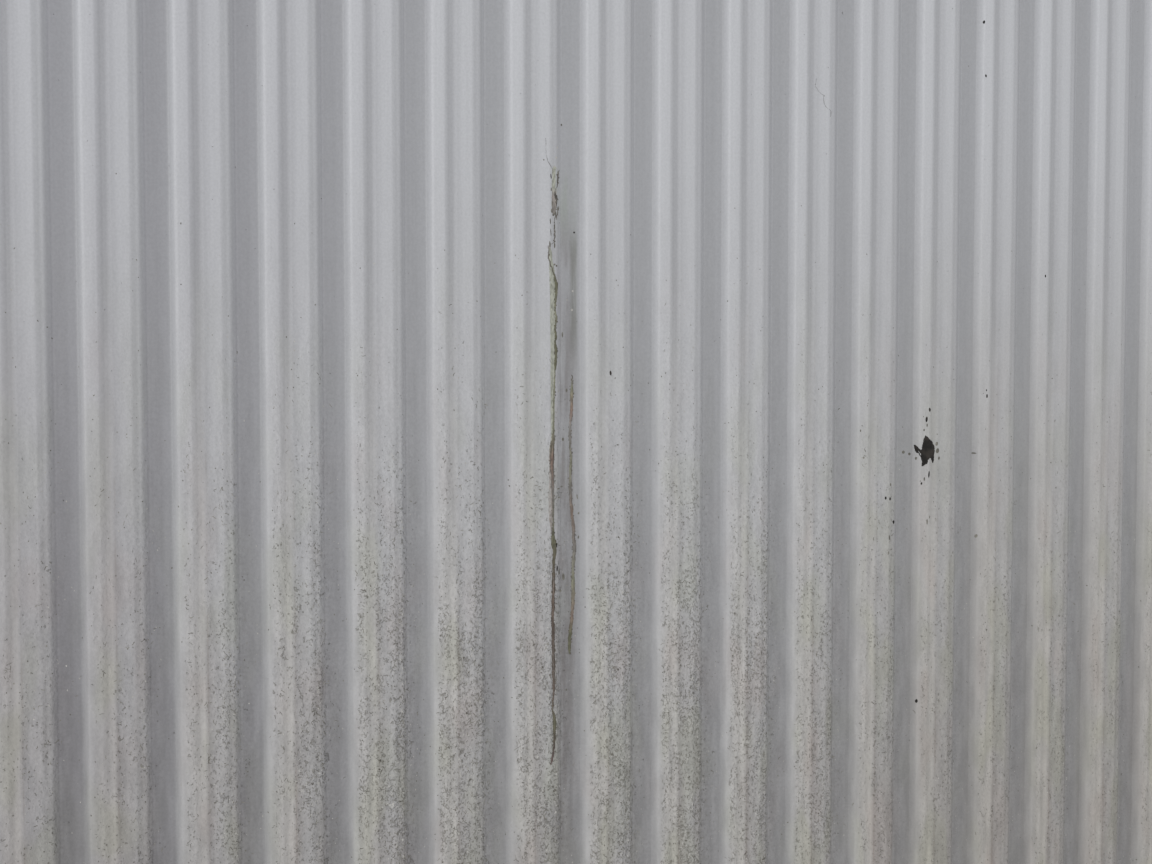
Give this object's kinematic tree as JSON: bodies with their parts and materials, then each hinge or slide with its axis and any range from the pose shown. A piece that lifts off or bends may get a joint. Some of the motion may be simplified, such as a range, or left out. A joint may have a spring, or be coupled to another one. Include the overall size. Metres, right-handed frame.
{
  "type": "corrugated metal sheet",
  "caption": "Thin painted steel sheet rolled into shallow lengthwise ribs, each a narrow and a wide crest beside a flat trough, for cladding walls, fences and sheds.",
  "frame": {"origin": "middle of the sheet's underside, on the plane that its troughs rest on", "axes": "+Y along the ribs and the sheet's length, +X across the ribs, +Z out of the painted face"},
  "size_m": [0.8404, 1.8, 0.0031],
  "materials": {
    "painted_steel": "light bluish-grey factory paint, weathered to a low sheen, with rain-splash dirt"
  },
  "bodies": {
    "root": {"corrugated_sheet": "painted_steel"}
  },
  "joints": []
}
